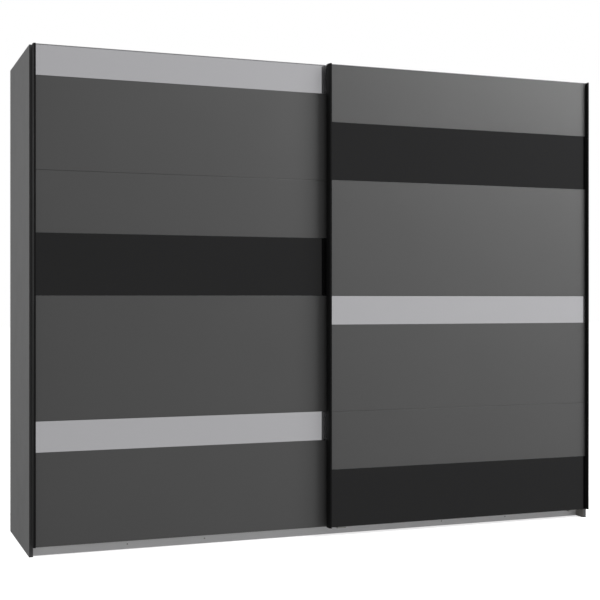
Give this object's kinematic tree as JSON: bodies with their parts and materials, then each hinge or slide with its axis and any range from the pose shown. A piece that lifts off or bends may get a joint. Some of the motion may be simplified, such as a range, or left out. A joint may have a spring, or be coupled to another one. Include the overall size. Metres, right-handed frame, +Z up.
{
  "type": "sliding door wardrobe",
  "caption": "Sliding door wardrobe: striped doors with full-height grips hang in front of a panel carcass that holds hat shelves and clothes rails.",
  "frame": {"origin": "on the floor, under the middle of the bounding box", "axes": "+X to the right along the front, +Y from the doors to the back, +Z up"},
  "size_m": [2.7, 0.654, 2.124],
  "materials": {
    "graphite_board": "melamine-faced chipboard, graphite, satin with a fine pore",
    "dark_edge": "dark edged strip, satin",
    "interior_board": "melamine-faced chipboard, light fabric-look grey, matt",
    "back_sheet": "painted hardboard, matt",
    "silver_glass": "glass lacquered silver grey on its back, glossy, opaque",
    "black_glass": "glass lacquered black on its back, glossy, opaque",
    "black_profile": "black anodised extrusion, satin",
    "aluminium": "natural anodised extrusion",
    "steel": "zinc-plated bent sheet",
    "chrome": "chromed steel tube",
    "plastic": "moulded, pale grey",
    "rubber": "moulded, black"
  },
  "bodies": {
    "carcass": {"back_joint_strip_left": "plastic", "back_joint_strip_right": "plastic", "back_panel_1": "back_sheet", "back_panel_2": "back_sheet", "back_panel_3": "back_sheet", "back_panel_4": "back_sheet", "bottom_panel_left": "interior_board", "bottom_panel_right": "interior_board", "centre_partition": "interior_board", "clothes_rail_left": "chrome", "clothes_rail_right": "chrome", "clothes_rail_socket_1": "plastic", "clothes_rail_socket_2": "plastic", "clothes_rail_socket_3": "plastic", "clothes_rail_socket_4": "plastic", "floor_rail": "aluminium", "hat_shelf_left": "interior_board", "hat_shelf_right": "interior_board", "plinth_front": "interior_board", "plinth_rear": "interior_board", "side_filler_strip_right": "dark_edge", "side_panel_left": "graphite_board", "side_panel_right": "graphite_board", "top_panel_left": "interior_board", "top_panel_right": "interior_board", "top_track": "aluminium", "track_stop_left": "rubber", "track_stop_right": "rubber"},
    "left_door": {"left_door_black_glass_middle": "black_glass", "left_door_board_1": "graphite_board", "left_door_board_2": "graphite_board", "left_door_board_3": "graphite_board", "left_door_board_4": "graphite_board", "left_door_carriage_left": "steel", "left_door_carriage_right": "steel", "left_door_grip_left": "black_profile", "left_door_grip_right": "black_profile", "left_door_guide_left": "steel", "left_door_guide_right": "steel", "left_door_silver_glass_lower": "silver_glass", "left_door_silver_glass_top": "silver_glass", "left_door_top_cap": "aluminium"},
    "right_door": {"right_door_black_glass_bottom": "black_glass", "right_door_black_glass_upper": "black_glass", "right_door_board_1": "graphite_board", "right_door_board_2": "graphite_board", "right_door_board_3": "graphite_board", "right_door_board_4": "graphite_board", "right_door_carriage_left": "steel", "right_door_carriage_right": "steel", "right_door_grip_left": "black_profile", "right_door_grip_right": "black_profile", "right_door_guide_left": "steel", "right_door_guide_right": "steel", "right_door_silver_glass_middle": "silver_glass", "right_door_top_cap": "aluminium"},
    "left_door_wheel_left": {"left_door_wheel_left": "plastic"},
    "left_door_wheel_right": {"left_door_wheel_right": "plastic"},
    "right_door_wheel_left": {"right_door_wheel_left": "plastic"},
    "right_door_wheel_right": {"right_door_wheel_right": "plastic"}
  },
  "joints": [
    {"name": "left_door_slide", "type": "slide", "parent": "carcass", "child": "left_door", "axis": [1, 0, 0], "range_m": [0, 1.294]},
    {"name": "right_door_slide", "type": "slide", "parent": "carcass", "child": "right_door", "axis": [1, 0, 0], "range_m": [-1.306, 0]},
    {"name": "left_door_wheel_left_spin", "type": "hinge", "parent": "left_door", "child": "left_door_wheel_left", "pos_m": [-1.23, -0.23, 2.092], "axis": [0, 1, 0], "continuous": true},
    {"name": "left_door_wheel_right_spin", "type": "hinge", "parent": "left_door", "child": "left_door_wheel_right", "pos_m": [-0.076, -0.23, 2.092], "axis": [0, 1, 0], "continuous": true},
    {"name": "right_door_wheel_left_spin", "type": "hinge", "parent": "right_door", "child": "right_door_wheel_left", "pos_m": [0.076, -0.19, 2.092], "axis": [0, 1, 0], "continuous": true},
    {"name": "right_door_wheel_right_spin", "type": "hinge", "parent": "right_door", "child": "right_door_wheel_right", "pos_m": [1.23, -0.19, 2.092], "axis": [0, 1, 0], "continuous": true}
  ],
  "couplings": [
    {"joint": "left_door_wheel_left_spin", "follows": "left_door_slide", "rad_per_m": 83.333},
    {"joint": "left_door_wheel_right_spin", "follows": "left_door_slide", "rad_per_m": 83.333},
    {"joint": "right_door_wheel_left_spin", "follows": "right_door_slide", "rad_per_m": 83.333},
    {"joint": "right_door_wheel_right_spin", "follows": "right_door_slide", "rad_per_m": 83.333}
  ]
}
